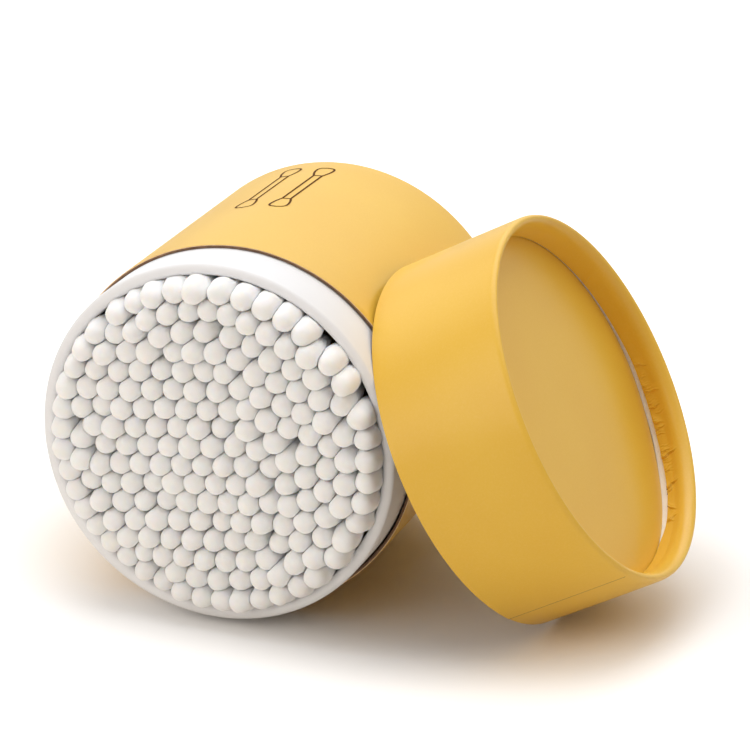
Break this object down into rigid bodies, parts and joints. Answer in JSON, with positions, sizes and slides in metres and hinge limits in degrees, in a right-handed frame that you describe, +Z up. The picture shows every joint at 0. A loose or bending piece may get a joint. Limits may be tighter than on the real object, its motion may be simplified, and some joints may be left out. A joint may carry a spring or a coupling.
{
  "type": "box of cotton swabs",
  "caption": "Round paper tube on its side, filled with bamboo cotton swabs, with its telescoping lid off and leaning against it.",
  "frame": {"origin": "on the ground, below the middle of the whole", "axes": "+Z up, +Y along the tube's axis from its mouth to its base, +X towards the leaning lid"},
  "size_m": [0.1324, 0.0874, 0.0847],
  "materials": {
    "printed_board": "brown board under printed, matt laminated paper; raw cut edges; white lined inside the lid",
    "white_board": "smooth white lined board",
    "bamboo": "turned and unvarnished",
    "cotton": "wound and pressed cotton"
  },
  "bodies": {
    "root": {"body_tube": "printed_board", "base_disc": "printed_board", "neck_tube": "white_board", "bamboo_sticks": "bamboo", "cotton_heads_mouth": "cotton", "cotton_heads_base": "cotton", "lid_tube": "printed_board", "lid_disc": "printed_board"}
  },
  "joints": []
}
